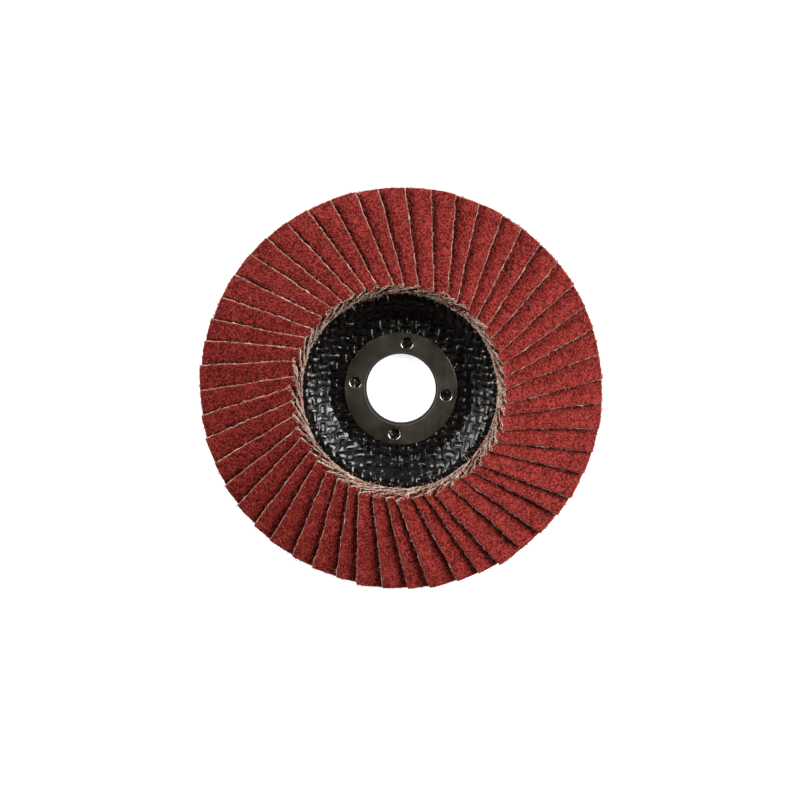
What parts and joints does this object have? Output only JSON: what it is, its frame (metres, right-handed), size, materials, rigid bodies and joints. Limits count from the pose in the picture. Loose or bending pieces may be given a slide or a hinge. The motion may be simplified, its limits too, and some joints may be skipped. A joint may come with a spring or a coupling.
{
  "type": "abrasive flap disc",
  "caption": "Conical flap disc for an angle grinder: overlapping abrasive cloth flaps bonded to a dished glass-fibre plate with a steel-lined bore.",
  "frame": {"origin": "on the disc's axis, at the back face of the hub, where the grinder's flange bears and where the disc rests when it lies flaps up", "axes": "+Z along the spindle axis towards the working side; +X to the right and +Y up as the working side is seen"},
  "size_m": [0.127, 0.127, 0.0173],
  "materials": {
    "abrasive_cloth": "coarse maroon grain in a resin coat on pale woven cloth",
    "glass_cloth": "glossy black resin over an open glass weave",
    "inner_glass_cloth": "resin-soaked glass weave, hidden but for its edges",
    "flap_resin": "uneven brown-black cured adhesive",
    "bush_steel": "dull rolled sheet with bright burnished edges",
    "blotter_paper": "plain unprinted kraft paper"
  },
  "bodies": {
    "root": {"flap_01": "abrasive_cloth", "flap_02": "abrasive_cloth", "flap_03": "abrasive_cloth", "flap_04": "abrasive_cloth", "flap_05": "abrasive_cloth", "flap_06": "abrasive_cloth", "flap_07": "abrasive_cloth", "flap_08": "abrasive_cloth", "flap_09": "abrasive_cloth", "flap_10": "abrasive_cloth", "flap_11": "abrasive_cloth", "flap_12": "abrasive_cloth", "flap_13": "abrasive_cloth", "flap_14": "abrasive_cloth", "flap_15": "abrasive_cloth", "flap_16": "abrasive_cloth", "flap_17": "abrasive_cloth", "flap_18": "abrasive_cloth", "flap_19": "abrasive_cloth", "flap_20": "abrasive_cloth", "flap_21": "abrasive_cloth", "flap_22": "abrasive_cloth", "flap_23": "abrasive_cloth", "flap_24": "abrasive_cloth", "flap_25": "abrasive_cloth", "flap_26": "abrasive_cloth", "flap_27": "abrasive_cloth", "flap_28": "abrasive_cloth", "flap_29": "abrasive_cloth", "flap_30": "abrasive_cloth", "flap_31": "abrasive_cloth", "flap_32": "abrasive_cloth", "flap_33": "abrasive_cloth", "flap_34": "abrasive_cloth", "flap_35": "abrasive_cloth", "flap_36": "abrasive_cloth", "flap_37": "abrasive_cloth", "flap_38": "abrasive_cloth", "flap_39": "abrasive_cloth", "flap_40": "abrasive_cloth", "flap_41": "abrasive_cloth", "flap_42": "abrasive_cloth", "flap_43": "abrasive_cloth", "flap_44": "abrasive_cloth", "flap_45": "abrasive_cloth", "flap_46": "abrasive_cloth", "flap_47": "abrasive_cloth", "flap_48": "abrasive_cloth", "flap_49": "abrasive_cloth", "flap_50": "abrasive_cloth", "flap_51": "abrasive_cloth", "front_glass_ply": "glass_cloth", "inner_glass_ply_1": "inner_glass_cloth", "inner_glass_ply_2": "inner_glass_cloth", "back_glass_ply": "glass_cloth", "adhesive_bed": "flap_resin", "bore_bush": "bush_steel", "back_blotter": "blotter_paper"}
  },
  "joints": []
}
